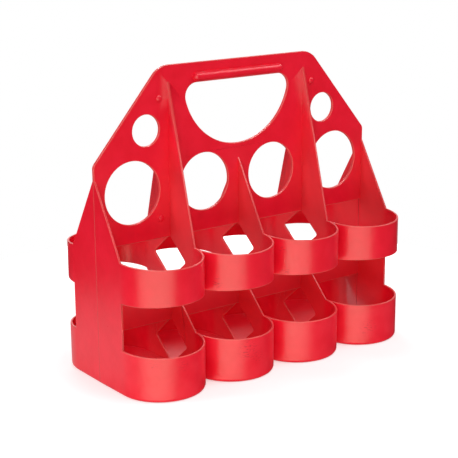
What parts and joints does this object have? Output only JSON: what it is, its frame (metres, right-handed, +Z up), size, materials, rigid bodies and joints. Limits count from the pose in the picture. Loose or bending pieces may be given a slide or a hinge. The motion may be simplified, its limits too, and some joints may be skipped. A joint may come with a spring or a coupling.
{
  "type": "bottle carrier",
  "caption": "Bright red moulded plastic bottle carrier: half shells riveted back to back, with cups below, rings above them and a hand hole in a tall pierced web.",
  "frame": {"origin": "middle of the underside, in the seam between the two halves, at the level of the surface that the carrier stands on", "axes": "+X along the row of pockets, +Y across from the front half to the back half, +Z up"},
  "size_m": [0.3822, 0.193, 0.3417],
  "materials": {
    "red_shell_plastic": "satin moulded polypropylene",
    "red_rivet_plastic": "satin moulded polypropylene"
  },
  "bodies": {
    "root": {"front_web_left": "red_shell_plastic", "front_web_centre": "red_shell_plastic", "front_web_right": "red_shell_plastic", "front_web_rail": "red_shell_plastic", "front_grip_ridge": "red_shell_plastic", "front_divider_left": "red_shell_plastic", "front_divider_centre": "red_shell_plastic", "front_divider_right": "red_shell_plastic", "front_end_wall_left": "red_shell_plastic", "front_end_wall_right": "red_shell_plastic", "front_ring_1": "red_shell_plastic", "front_ring_2": "red_shell_plastic", "front_ring_3": "red_shell_plastic", "front_ring_4": "red_shell_plastic", "front_cup_1": "red_shell_plastic", "front_cup_2": "red_shell_plastic", "front_cup_3": "red_shell_plastic", "front_cup_4": "red_shell_plastic", "back_web_left": "red_shell_plastic", "back_web_centre": "red_shell_plastic", "back_web_right": "red_shell_plastic", "back_web_rail": "red_shell_plastic", "back_grip_ridge": "red_shell_plastic", "back_divider_left": "red_shell_plastic", "back_divider_centre": "red_shell_plastic", "back_divider_right": "red_shell_plastic", "back_end_wall_left": "red_shell_plastic", "back_end_wall_right": "red_shell_plastic", "back_ring_1": "red_shell_plastic", "back_ring_2": "red_shell_plastic", "back_ring_3": "red_shell_plastic", "back_ring_4": "red_shell_plastic", "back_cup_1": "red_shell_plastic", "back_cup_2": "red_shell_plastic", "back_cup_3": "red_shell_plastic", "back_cup_4": "red_shell_plastic", "rivet_upper_left": "red_rivet_plastic", "rivet_upper_right": "red_rivet_plastic", "rivet_lower_left": "red_rivet_plastic", "rivet_lower_right": "red_rivet_plastic"}
  },
  "joints": []
}
